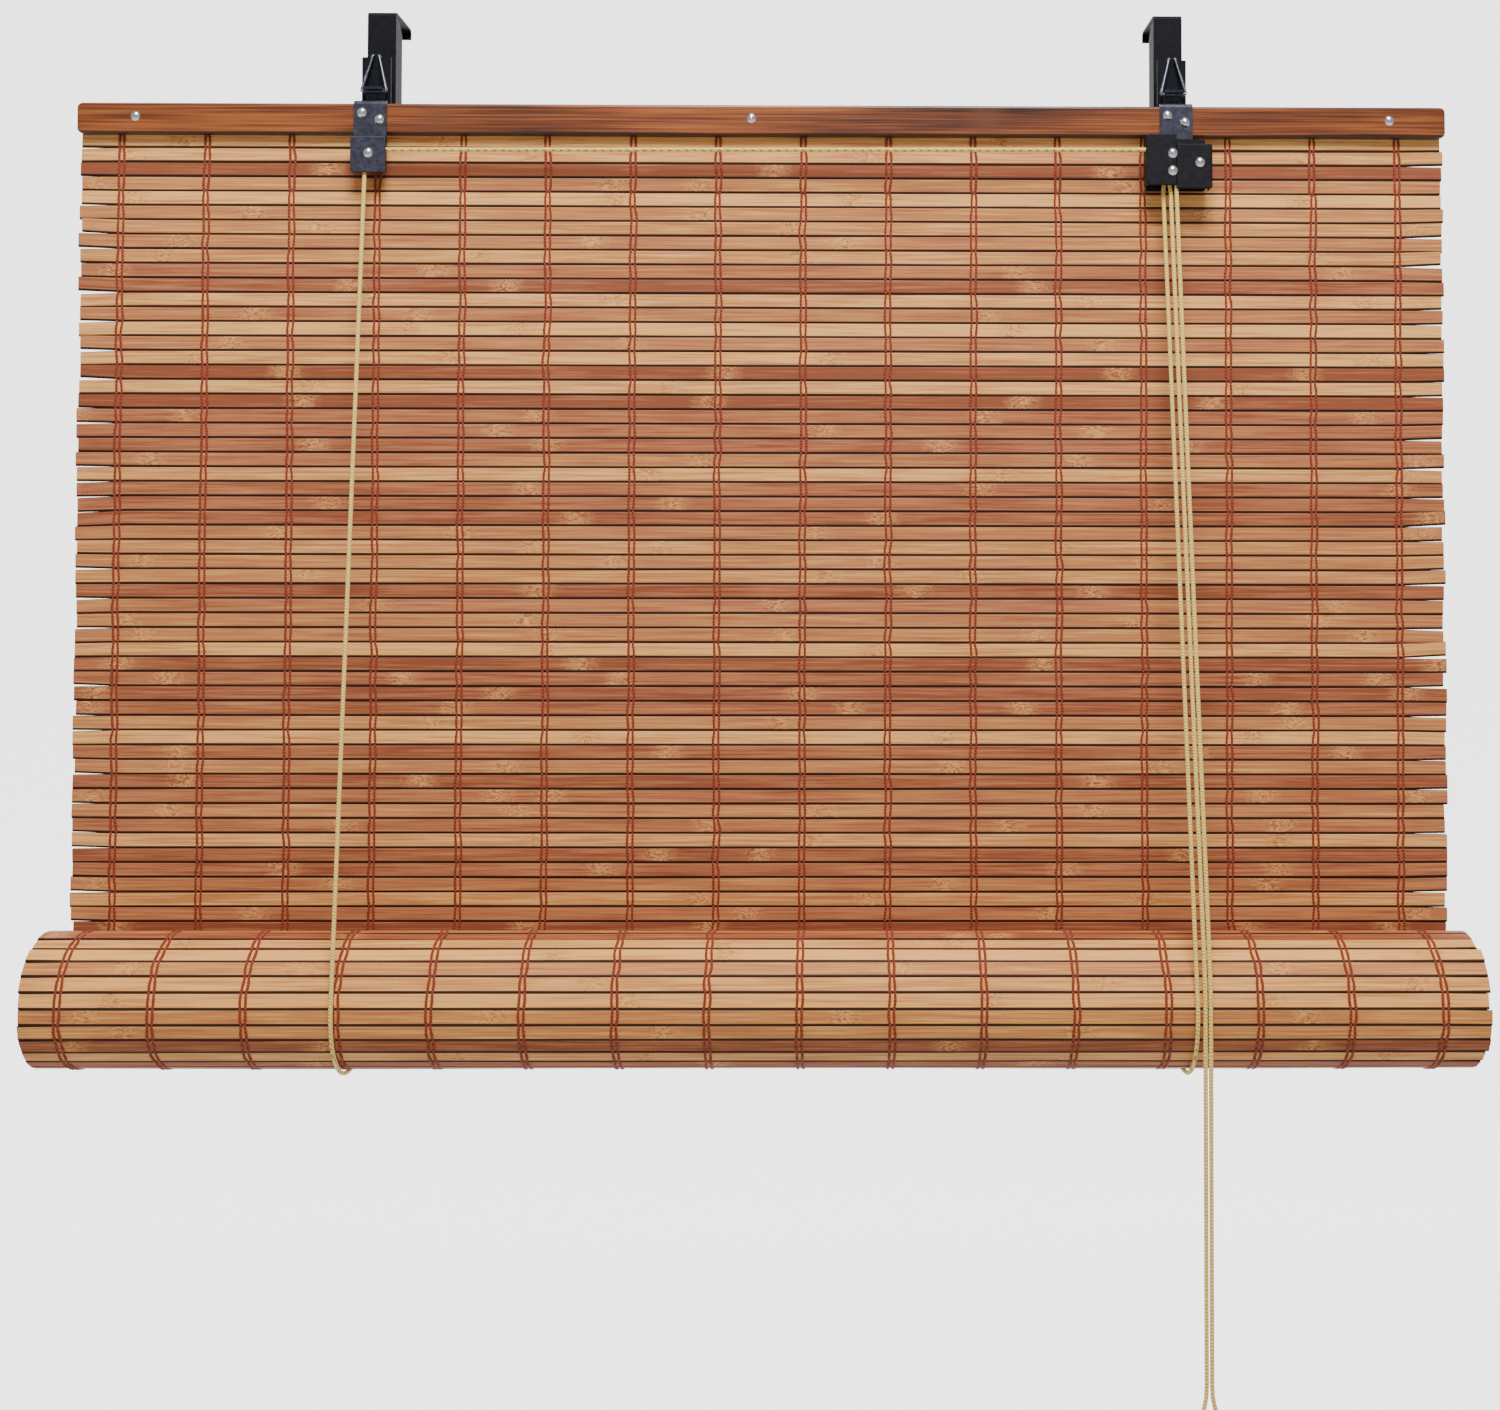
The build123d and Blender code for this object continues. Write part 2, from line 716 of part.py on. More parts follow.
with BuildPart() as cord_pull:
    with BuildSketch(side_plane(coil_x, front_y, pull_top)):
        with BuildLine():
            neck = Line((0, 0), (pull_neck, 0))
            flare = Spline(
                neck @ 1,
                (pull_radius, -pull_length * 0.75),
                tangents=((0, -1), (0, -1)),
            )
            rim = ThreePointArc(
                flare @ 1,
                (pull_radius * 0.93, -pull_length * 0.92),
                (pull_radius * 0.7, -pull_length),
            )
            base = Line(rim @ 1, (0, -pull_length))
            Line(base @ 1, neck @ 0)
        make_face()
    revolve(axis=Axis((coil_x, front_y, 0), (0, 0, 1)))
finish(cord_pull, "cord_pull")
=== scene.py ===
"""Looks of a bamboo roll-up blind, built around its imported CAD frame.

Metres, in the CAD's frame: X runs along the blind, the room is towards -Y and Z = 0 is the top
edge of the window frame that carries the blind.
"""

import math
import random

import bmesh
import bpy
from mathutils import Matrix, Vector


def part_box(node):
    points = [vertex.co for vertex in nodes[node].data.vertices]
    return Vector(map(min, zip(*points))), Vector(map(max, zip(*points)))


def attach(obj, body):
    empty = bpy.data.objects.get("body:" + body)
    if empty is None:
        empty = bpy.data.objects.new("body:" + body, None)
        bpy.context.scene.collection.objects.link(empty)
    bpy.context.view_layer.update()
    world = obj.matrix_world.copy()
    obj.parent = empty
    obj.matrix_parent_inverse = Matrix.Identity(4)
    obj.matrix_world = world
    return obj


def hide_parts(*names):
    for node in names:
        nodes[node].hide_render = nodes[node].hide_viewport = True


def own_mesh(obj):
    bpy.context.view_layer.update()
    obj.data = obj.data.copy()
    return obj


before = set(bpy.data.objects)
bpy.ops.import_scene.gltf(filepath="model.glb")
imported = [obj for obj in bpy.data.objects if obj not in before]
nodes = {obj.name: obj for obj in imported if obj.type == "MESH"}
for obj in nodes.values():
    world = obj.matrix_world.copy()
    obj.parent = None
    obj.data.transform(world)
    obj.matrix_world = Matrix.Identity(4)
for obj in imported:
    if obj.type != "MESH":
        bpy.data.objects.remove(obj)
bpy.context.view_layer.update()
random.seed(23)
mm = 0.001

# Camera, fitted to the photograph's nails, rivets, lath corners and roll ends
photo_width = 1500
photo_height = 1410
camera_place = Vector((0.0374, -1.0759, -0.3052))
camera_turn = Vector((-0.02641, 0.00204, 0.00868))
camera_focal = 1782.0
camera_centre = (842.0, 478.5)

# Slats and mat
slat_length = 796 * mm
slat_pitch = 8.5 * mm
slat_width = 8.8 * mm
slat_thickness = 1.9 * mm
slat_edge = 0.75 * mm
head_slats = 6
hanging_slats = 54
end_jitter = 1.8 * mm
hanging_end_drift = 1.8 * mm
splay_start = 372 * mm
lath_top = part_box("front_lath")[1].z
lath_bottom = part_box("front_lath")[0].z
lath_height = 18 * mm
mat_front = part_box("hanging_mat")[0].y
mat_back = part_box("hanging_mat")[1].y
mat_middle = (mat_front + mat_back) / 2
head_mat_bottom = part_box("hanging_mat")[1].z
roll_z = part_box("hanging_mat")[0].z

# Roll
roll_radius = 38.5 * mm
roll_y = mat_back - roll_radius
layer_pitch = 2.7 * mm
core_radius = 9.2 * mm
seen_slats = 30
seen_cuts = 28
hidden_cuts = 3

# Warp threads
warp_count = 16
warp_spacing = 49.9 * mm
warp_middle = -1.5 * mm
thread_radius = 0.8 * mm
thread_spread = 3.3 * mm

# Cords
cord_diameter = 2.4 * mm
cord_radius = cord_diameter / 2
sling_radius = roll_radius + 1.5 * mm
front_y = roll_y - sling_radius
back_y = roll_y + sling_radius
left_pull_x = 244.9 * mm
right_pull_x = 242.0 * mm
coil_x = (left_pull_x + right_pull_x) / 2
coil_radius = 21.5 * mm
turn_points = 12


# Tools


def linear(colour):
    """A linear colour from an sRGB hex value."""
    channels = [int(colour[place : place + 2], 16) / 255 for place in (1, 3, 5)]
    return [c / 12.92 if c <= 0.04045 else ((c + 0.055) / 1.055) ** 2.4 for c in channels] + [1]


def add_node(tree, kind, inputs=None, stops=None, **settings):
    """Add a node with its settings. Its inputs are values, or sockets to link from."""
    node = tree.nodes.new(kind)
    for name, value in settings.items():
        setattr(node, name, value)
    for name, value in (inputs or {}).items():
        if isinstance(value, bpy.types.NodeSocket):
            tree.links.new(value, node.inputs[name])
        else:
            node.inputs[name].default_value = value
    for place, (position, colour) in enumerate(stops or []):
        ramp = node.color_ramp.elements
        stop = ramp[place] if place < 2 else ramp.new(position)
        stop.position = position
        stop.color = linear(colour)
    return node


def new_material(name, **sockets):
    """A material and its tree and shader, with the shader's own sockets set."""
    material = bpy.data.materials.new(name)
    material.use_nodes = True
    shader = material.node_tree.nodes["Principled BSDF"]
    for socket, value in sockets.items():
        shader.inputs[socket.replace("_", " ")].default_value = value
    return material, material.node_tree, shader


def dress(material, *names):
    """Give CAD nodes their finish."""
    for name in names:
        mesh = nodes[name].data
        mesh.materials.clear()
        mesh.materials.append(material)


def new_piece(name, mesh, material, body, stands_for=()):
    """A finished piece that rides on a body."""
    piece = bpy.data.objects.new(name, mesh)
    bpy.context.scene.collection.objects.link(piece)
    mesh.materials.clear()
    mesh.materials.append(material)
    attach(piece, body)
    if stands_for:
        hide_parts(*stands_for)
    return piece


def smooth_line(curve, points):
    """Add one open NURBS spline with these control points to a curve."""
    spline = curve.splines.new("NURBS")
    spline.points.add(len(points) - 1)
    for place, point in zip(spline.points, points):
        place.co = (*point, 1)
    spline.order_u = 3
    spline.use_endpoint_u = True


def new_curve(name, lines, radius, resolution=6, sides=2):
    """Round strands along smooth lines."""
    curve = bpy.data.curves.new(name, "CURVE")
    curve.dimensions = "3D"
    curve.bevel_depth = radius
    curve.bevel_resolution = sides
    curve.resolution_u = resolution
    curve.use_fill_caps = True
    for line in lines:
        smooth_line(curve, line)
    return curve


def curve_mesh(name, lines, radius, resolution=6, sides=2):
    """Round strands along smooth lines, as a mesh that can flatten."""
    carrier = bpy.data.objects.new(name, new_curve(name, lines, radius, resolution, sides))
    mesh = bpy.data.meshes.new_from_object(carrier)
    bpy.data.objects.remove(carrier)
    for face in mesh.polygons:
        face.use_smooth = True
    return mesh


# Materials


def bamboo_slats(name, tones, lower_side):
    """Split bamboo, planed and stained: matt, each slat its own tone, fine fibres and knots."""
    material, tree, shader = new_material(name, Roughness=0.62, Specular_IOR_Level=0.25)
    uv = add_node(tree, "ShaderNodeUVMap", uv_map="slat_uv").outputs["UV"]
    across = add_node(tree, "ShaderNodeSeparateXYZ", {"Vector": uv}).outputs["Y"]
    # Each slat has 50 mm of the map's height, with its middle at 25 mm
    slat = add_node(tree, "ShaderNodeMath", {0: across, 1: 20}, operation="MULTIPLY")
    number = add_node(tree, "ShaderNodeMath", {0: slat.outputs[0]}, operation="FLOOR")
    tone = add_node(
        tree, "ShaderNodeTexWhiteNoise", {"W": number.outputs[0]}, noise_dimensions="1D"
    )
    # Fibre bundles 1.4 mm wide and about 60 mm long
    fibre_place = add_node(tree, "ShaderNodeMapping", {"Vector": uv, "Scale": (16, 700, 1)})
    fibre = add_node(
        tree,
        "ShaderNodeTexNoise",
        {"Vector": fibre_place.outputs[0], "Scale": 1, "Detail": 4, "Roughness": 0.65},
        noise_dimensions="2D",
    )
    # Stain that comes and goes over about 120 mm of a slat
    patch_place = add_node(tree, "ShaderNodeMapping", {"Vector": uv, "Scale": (8, 60, 1)})
    patch = add_node(
        tree,
        "ShaderNodeTexNoise",
        {"Vector": patch_place.outputs[0], "Scale": 1, "Detail": 3, "Roughness": 0.6},
        noise_dimensions="2D",
    )
    shares = (
        (tone.outputs["Value"], 0.72),
        (patch.outputs["Fac"], 0.35),
        (fibre.outputs["Fac"], 0.95),
    )
    total = -0.5
    for source, share in shares:
        total = add_node(
            tree, "ShaderNodeMath", {0: source, 1: share, 2: total}, operation="MULTIPLY_ADD"
        ).outputs[0]
    body = add_node(
        tree,
        "ShaderNodeValToRGB",
        {"Fac": total},
        stops=[(0.16, tones[0]), (0.86, tones[3]), (0.4, tones[1]), (0.62, tones[2])],
    )
    # Knots: one about every 220 mm of a slat, 20 mm long, pale with dark wavy fibres
    along = add_node(tree, "ShaderNodeSeparateXYZ", {"Vector": uv}).outputs["X"]
    wander = add_node(
        tree,
        "ShaderNodeMath",
        {0: fibre.outputs["Fac"], 1: 0.012, 2: along},
        operation="MULTIPLY_ADD",
    )
    knot = add_node(
        tree,
        "ShaderNodeTexVoronoi",
        {"W": wander.outputs[0], "Scale": 4.5, "Randomness": 1.0},
        voronoi_dimensions="1D",
    )
    knot_share = add_node(
        tree,
        "ShaderNodeMapRange",
        {
            "Value": knot.outputs["Distance"],
            "From Min": 0.005,
            "From Max": 0.055,
            "To Min": 0.6,
            "To Max": 0,
        },
    )
    ripple_place = add_node(tree, "ShaderNodeMapping", {"Vector": uv, "Scale": (180, 420, 1)})
    ripple = add_node(
        tree,
        "ShaderNodeTexNoise",
        {"Vector": ripple_place.outputs[0], "Scale": 1, "Detail": 2, "Distortion": 2.2},
        noise_dimensions="2D",
    )
    knot_colour = add_node(
        tree,
        "ShaderNodeValToRGB",
        {"Fac": ripple.outputs["Fac"]},
        stops=[(0.34, tones[0]), (0.62, tones[3]), (0.47, tones[2])],
    )
    knotted = add_node(
        tree,
        "ShaderNodeMixRGB",
        {"Fac": knot_share.outputs[0], "Color1": body.outputs[0], "Color2": knot_colour.outputs[0]},
    )
    # Painted shade in the grooves: 1.3 mm of each slat's lower edge and a line along its upper edge
    # are darkened towards near black
    place = add_node(tree, "ShaderNodeMath", {0: slat.outputs[0]}, operation="FRACT")
    reach = add_node(
        tree,
        "ShaderNodeMath",
        {0: place.outputs[0], 1: lower_side, 2: -0.5 * lower_side},
        operation="MULTIPLY_ADD",
    )
    lower = add_node(
        tree,
        "ShaderNodeMapRange",
        {
            "Value": reach.outputs[0],
            "From Min": 0.057,
            "From Max": 0.064,
            "To Min": 0,
            "To Max": 0.97,
        },
    )
    upper = add_node(
        tree,
        "ShaderNodeMapRange",
        {
            "Value": reach.outputs[0],
            "From Min": -0.078,
            "From Max": -0.083,
            "To Min": 0,
            "To Max": 0.9,
        },
    )
    edge = add_node(
        tree, "ShaderNodeMath", {0: lower.outputs[0], 1: upper.outputs[0]}, operation="MAXIMUM"
    )
    # Painted shade: the slat colour mixed towards near black along the grooves
    groove_shaded = add_node(
        tree,
        "ShaderNodeMixRGB",
        {"Fac": edge.outputs[0], "Color1": knotted.outputs[0], "Color2": linear("#1a0803")},
    )
    tree.links.new(groove_shaded.outputs[0], shader.inputs["Base Color"])
    bump = add_node(
        tree,
        "ShaderNodeBump",
        {"Height": fibre.outputs["Fac"], "Distance": 0.12 * mm, "Strength": 0.6},
    )
    tree.links.new(bump.outputs[0], shader.inputs["Normal"])
    return material


def stained_lath(name, dark, middle, light, knot_places, lower_edge=None):
    """Laminated bamboo lath, sanded and stained reddish brown under a satin varnish."""
    material, tree, shader = new_material(name, Roughness=0.38, Coat_Weight=0.15)
    coordinates = add_node(tree, "ShaderNodeTexCoord").outputs["Object"]
    # Fibres 1 mm wide and about 80 mm long
    fibre_place = add_node(
        tree, "ShaderNodeMapping", {"Vector": coordinates, "Scale": (12, 900, 900)}
    )
    fibre = add_node(
        tree, "ShaderNodeTexNoise", {"Vector": fibre_place.outputs[0], "Scale": 1, "Detail": 4}
    )
    stain_place = add_node(tree, "ShaderNodeMapping", {"Vector": coordinates, "Scale": (6, 60, 60)})
    stain = add_node(
        tree, "ShaderNodeTexNoise", {"Vector": stain_place.outputs[0], "Scale": 1, "Detail": 3}
    )
    total = add_node(
        tree,
        "ShaderNodeMath",
        {0: fibre.outputs["Fac"], 1: 0.9, 2: -0.35},
        operation="MULTIPLY_ADD",
    )
    total = add_node(
        tree,
        "ShaderNodeMath",
        {0: stain.outputs["Fac"], 1: 0.8, 2: total.outputs[0]},
        operation="MULTIPLY_ADD",
    )
    colour = add_node(
        tree,
        "ShaderNodeValToRGB",
        {"Fac": total.outputs[0]},
        stops=[(0.3, dark), (0.75, light), (0.5, middle)],
    ).outputs[0]
    along = add_node(tree, "ShaderNodeSeparateXYZ", {"Vector": coordinates}).outputs["X"]
    for knot_x in knot_places:
        # A node of the cane crosses the lath as a darker band about 25 mm wide
        away = add_node(tree, "ShaderNodeMath", {0: along, 1: knot_x}, operation="SUBTRACT")
        away = add_node(tree, "ShaderNodeMath", {0: away.outputs[0]}, operation="ABSOLUTE")
        band = add_node(
            tree,
            "ShaderNodeMapRange",
            {
                "Value": away.outputs[0],
                "From Min": 0.003,
                "From Max": 0.016,
                "To Min": 0.55,
                "To Max": 0,
            },
        )
        colour = add_node(
            tree,
            "ShaderNodeMixRGB",
            {"Fac": band.outputs[0], "Color1": colour, "Color2": linear("#6b3a1e")},
        ).outputs[0]
    if lower_edge is not None:
        # Painted shade along the lath's lower edge: its last 1.2 mm is darkened nearly to black
        height = add_node(tree, "ShaderNodeSeparateXYZ", {"Vector": coordinates}).outputs["Z"]
        edge_shade = add_node(
            tree,
            "ShaderNodeMapRange",
            {
                "Value": height,
                "From Min": lower_edge + 1.6 * mm,
                "From Max": lower_edge + 0.8 * mm,
                "To Min": 0,
                "To Max": 0.9,
            },
        )
        # Painted shade: the lath colour mixed towards near black at its lower edge
        colour = add_node(
            tree,
            "ShaderNodeMixRGB",
            {"Fac": edge_shade.outputs[0], "Color1": colour, "Color2": linear("#1a0803")},
        ).outputs[0]
    tree.links.new(colour, shader.inputs["Base Color"])
    bump = add_node(
        tree,
        "ShaderNodeBump",
        {"Height": fibre.outputs["Fac"], "Distance": 0.08 * mm, "Strength": 0.5},
    )
    tree.links.new(bump.outputs[0], shader.inputs["Normal"])
    return material


def dull_steel(name, dark, light, roughness, metallic, mottle, shine=0.5):
    """Sheet steel, blackened in a bath: cloudy, with a faint rolled grain."""
    material, tree, shader = new_material(name, Metallic=metallic, Specular_IOR_Level=shine)
    coordinates = add_node(tree, "ShaderNodeTexCoord").outputs["Object"]
    cloud = add_node(
        tree,
        "ShaderNodeTexNoise",
        {"Vector": coordinates, "Scale": 1 / mottle, "Detail": 5, "Roughness": 0.7},
    )
    colour = add_node(
        tree,
        "ShaderNodeValToRGB",
        {"Fac": cloud.outputs["Fac"]},
        stops=[(0.3, dark), (0.72, light)],
    )
    tree.links.new(colour.outputs[0], shader.inputs["Base Color"])
    dullness = add_node(
        tree,
        "ShaderNodeMapRange",
        {"Value": cloud.outputs["Fac"], "To Min": roughness - 0.12, "To Max": roughness + 0.12},
    )
    tree.links.new(dullness.outputs[0], shader.inputs["Roughness"])
    bump = add_node(
        tree,
        "ShaderNodeBump",
        {"Height": cloud.outputs["Fac"], "Distance": 0.05 * mm, "Strength": 0.5},
    )
    tree.links.new(bump.outputs[0], shader.inputs["Normal"])
    return material


def twisted_yarn(name, dark, light, ply):
    """Loosely twisted cotton: slanting plies with shade between them, and no shine."""
    material, tree, shader = new_material(name, Roughness=0.85, Sheen_Weight=0.08)
    coordinates = add_node(tree, "ShaderNodeTexCoord").outputs["Object"]
    # Plies slant across the strand, one each ply length along it
    turned = add_node(
        tree, "ShaderNodeMapping", {"Vector": coordinates, "Rotation": (0.4, 0.6, 0.3)}
    )
    plies = add_node(
        tree,
        "ShaderNodeTexWave",
        {"Vector": turned.outputs[0], "Scale": 1 / (3.18 * ply), "Distortion": 1.5, "Detail": 1},
        bands_direction="DIAGONAL",
    )
    fuzz = add_node(
        tree, "ShaderNodeTexNoise", {"Vector": coordinates, "Scale": 900, "Detail": 3}
    )
    mixed = add_node(
        tree,
        "ShaderNodeMath",
        {0: plies.outputs["Fac"], 1: fuzz.outputs["Fac"]},
        operation="MULTIPLY",
    )
    colour = add_node(
        tree, "ShaderNodeValToRGB", {"Fac": mixed.outputs[0]}, stops=[(0.0, dark), (0.22, light)]
    )
    tree.links.new(colour.outputs[0], shader.inputs["Base Color"])
    bump = add_node(
        tree,
        "ShaderNodeBump",
        {"Height": plies.outputs["Fac"], "Distance": 0.2 * mm, "Strength": 0.7},
    )
    tree.links.new(bump.outputs[0], shader.inputs["Normal"])
    return material


hanging_bamboo = bamboo_slats(
    "hanging_bamboo_slats", ("#8c4a2d", "#b36d47", "#cb884e", "#f9b66a"), -1
)
rolled_bamboo = bamboo_slats(
    "rolled_bamboo_slats", ("#8f4a2a", "#b56d44", "#cd884a", "#f6b162"), 1
)
head_wood = stained_lath(
    "stained_bamboo_lath", "#2e1003", "#67300e", "#a45a27", (-190 * mm, 130 * mm), lath_bottom
)
strap_steel = dull_steel("blued_strap_steel", "#23242e", "#4a4c5b", 0.48, 0.55, 2.5 * mm)
lock_steel = dull_steel("blackened_lock_steel", "#110f13", "#222026", 0.5, 0.2, 2.5 * mm, 0.2)
clip_steel = dull_steel("blackened_clip_steel", "#0a0a10", "#17171f", 0.6, 0.0, 4 * mm, 0.12)
wire_steel = dull_steel("drawn_wire_steel", "#30353d", "#6c757f", 0.3, 0.9, 1.5 * mm)
rivet_nickel = dull_steel("nickel_rivets", "#c9c9cc", "#f2f2f2", 0.22, 1.0, 3 * mm)
cam_brass = dull_steel("cast_brass_cam", "#8a6a34", "#b8965a", 0.4, 1.0, 2 * mm)
cord_cotton = twisted_yarn("cord_cotton", "#b8913a", "#f8da7c", 1.1 * mm)
warp_cotton = twisted_yarn("warp_cotton", "#5c1a06", "#963610", 1.1 * mm)
pull_wood = stained_lath("turned_pull_wood", "#8a5a30", "#b5824f", "#cf9f68", ())

dress(head_wood, "front_lath", "back_lath")
dress(strap_steel, "left_strap_bracket", "right_strap_bracket", "left_pulley_cover")
dress(lock_steel, "lock_left_cover", "lock_right_cover", "lock_back_plate")
dress(clip_steel, "left_frame_clip", "right_frame_clip")
dress(wire_steel, "left_wire_hanger", "right_wire_hanger")
dress(
    rivet_nickel, "head_nails", "strap_rivets", "left_pin_rivet", "lock_pin_rivets", "cam_pin_rivet"
)
dress(cam_brass, "lock_cam")
dress(cord_cotton, "lock_turn_cord", "cord_tails")
dress(pull_wood, "cord_pull", "bottom_lath")


# Slats


def add_slat(mat, number, cuts, place, drift, droop_spread):
    """Add one slat to a mat: a bar with bevelled edges, a little crooked, with uneven ends."""
    slat = bmesh.new()
    bmesh.ops.create_cube(slat, size=1)
    bmesh.ops.scale(slat, vec=(slat_length, slat_thickness, slat_width), verts=slat.verts)
    lengthways = [edge for edge in slat.edges if edge.calc_length() > slat_length / 2]
    bmesh.ops.bevel(
        slat,
        geom=lengthways,
        offset=slat_edge,
        segments=2,
        profile=0.5,
        affect="EDGES",
        material=-1,
    )
    if cuts:
        lengthways = [edge for edge in slat.edges if edge.calc_length() > slat_length / 2]
        bmesh.ops.subdivide_edges(slat, edges=lengthways, cuts=cuts, use_grid_fill=True)
    map_layer = slat.loops.layers.uv.new("slat_uv")
    for face in slat.faces:
        for loop in face.loops:
            back = 12 * mm if face.normal.y > 0.9 else 0
            loop[map_layer].uv = (
                loop.vert.co.x + 1.7 * number + back,
                (number + 0.5) * 50 * mm + loop.vert.co.z,
            )
    ends = {side: drift + random.uniform(-end_jitter, end_jitter / 3) for side in (-1, 1)}
    droop = {side: random.gauss(0, droop_spread) for side in (-1, 1)}
    sway, phase = random.gauss(0, 0.05 * mm), random.uniform(0, 6.28)
    warp = random.gauss(0, 0.16 * mm)
    for vert in slat.verts:
        side = 1 if vert.co.x > 0 else -1
        share = max(0, abs(vert.co.x) - splay_start) / (slat_length / 2 - splay_start)
        vert.co.z *= 1 - 0.05 * share
        vert.co.z += droop[side] * share + sway * math.sin(9 * vert.co.x + phase)
        vert.co.y += warp * math.sin(14 * vert.co.x + phase)
        vert.co.x += side * ends[side] * (abs(vert.co.x) / (slat_length / 2)) ** 40
    bmesh.ops.transform(slat, matrix=place, verts=slat.verts)
    shape = bpy.data.meshes.new("slat")
    slat.to_mesh(shape)
    slat.free()
    mat.from_mesh(shape)
    bpy.data.meshes.remove(shape)


def hanging_stretch(first, count, top_z):
    """The slats of a hanging stretch of mat."""
    mat = bmesh.new()
    for step in range(count):
        tilt = Matrix.Rotation(random.gauss(0, math.radians(1.5)), 4, "X")
        place = Matrix.Translation((0, mat_middle, top_z - (step + 0.5) * slat_pitch))
        add_slat(mat, first + step, seen_cuts, place @ tilt, hanging_end_drift, 0.55 * mm)
    mesh = bpy.data.meshes.new("hanging_stretch")
    mat.to_mesh(mesh)
    mat.free()
    return mesh


head_mat = new_piece(
    "head_slats",
    hanging_stretch(0, head_slats, lath_top),
    hanging_bamboo,
    "blind_head",
    ["head_mat"],
)
hanging_mat = new_piece(
    "hanging_slats",
    hanging_stretch(head_slats, hanging_slats, head_mat_bottom),
    hanging_bamboo,
    "blind_head",
    ["hanging_mat"],
)
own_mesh(hanging_mat)


def slat_angles():
    """Where each slat of the roll starts, from the roll's back, under it and round."""
    angles = [0.0]
    radius = roll_radius
    while radius > core_radius + slat_thickness:
        angles.append(angles[-1] + slat_pitch / (radius - slat_thickness / 2))
        radius = roll_radius - layer_pitch * angles[-1] / (2 * math.pi)
    return angles


roll_angles = slat_angles()
roll_mat = bmesh.new()
for number, (start, end) in enumerate(zip(roll_angles, roll_angles[1:])):
    angle = (start + end) / 2
    radius = roll_radius - layer_pitch * angle / (2 * math.pi)
    middle = radius * math.cos((end - start) / 2) - slat_thickness / 2
    centre = Vector((0, roll_y + middle * math.cos(angle), roll_z - middle * math.sin(angle)))
    place = Matrix.Translation(centre) @ Matrix.Rotation(-angle, 4, "X")
    add_slat(
        roll_mat,
        head_slats + hanging_slats + number,
        seen_cuts if number < seen_slats else hidden_cuts,
        place,
        0,
        0.2 * mm,
    )
roll_mesh = bpy.data.meshes.new("rolled_slats")
roll_mat.to_mesh(roll_mesh)
roll_mat.free()
rolled_mat = new_piece(
    "rolled_slats", roll_mesh, rolled_bamboo, "mat_roll", ["rolled_mat"]
)

# Warp threads
warp_places = [
    warp_middle + warp_spacing * (warp - (warp_count - 1) / 2) for warp in range(warp_count)
]


def thread_lines(count, over, under):
    """Lines of all warp threads: over the middle of each slat and down into each groove."""
    lines = []
    for warp_x in warp_places:
        sways = [random.gauss(0, 0.3 * mm) for step in range(count)]
        for side in (-1, 1):
            line = []
            for step, sway in enumerate(sways):
                pinch = 0.28 if step % 3 == 0 else 0.4
                line.append(over(step, warp_x + side * thread_spread / 2 + sway))
                line.append(under(step, warp_x + side * thread_spread * pinch + sway))
            lines.append([under(-1, line[1][0])] + line)
    return lines


def flat_threads(first_z, count):
    """Threads in front of a hanging stretch and behind it."""
    lines = []
    for face_y, side in ((mat_front, -1), (mat_back, 1)):
        lines += thread_lines(
            count,
            lambda step, x: (x, face_y + side * 0.25 * mm, first_z - (step + 0.5) * slat_pitch),
            lambda step, x: (x, face_y - side * 0.25 * mm, first_z - (step + 1) * slat_pitch),
        )
    return lines


def roll_place(angle, proud, x):
    """A point on the outer turn of the roll."""
    radius = roll_radius - layer_pitch * angle / (2 * math.pi) + proud
    return (x, roll_y + radius * math.cos(angle), roll_z - radius * math.sin(angle))


new_piece(
    "head_threads",
    curve_mesh("head_threads", flat_threads(lath_top - 2 * slat_pitch, 4), thread_radius, 2, 1),
    warp_cotton,
    "blind_head",
    ["head_warps"],
)
hanging_threads = new_piece(
    "hanging_threads",
    curve_mesh(
        "hanging_threads", flat_threads(head_mat_bottom, hanging_slats), thread_radius, 2, 0
    ),
    warp_cotton,
    "blind_head",
    ["hanging_warps"],
)
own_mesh(hanging_threads)
new_piece(
    "roll_threads",
    curve_mesh(
        "roll_threads",
        thread_lines(
            seen_slats - 1,
            lambda step, x: roll_place(
                (roll_angles[step] + roll_angles[step + 1]) / 2, 0.1 * mm, x
            ),
            lambda step, x: roll_place(roll_angles[step + 1], -0.3 * mm, x),
        ),
        thread_radius,
        2,
        1,
    ),
    warp_cotton,
    "mat_roll",
    ["roll_warps"],
)

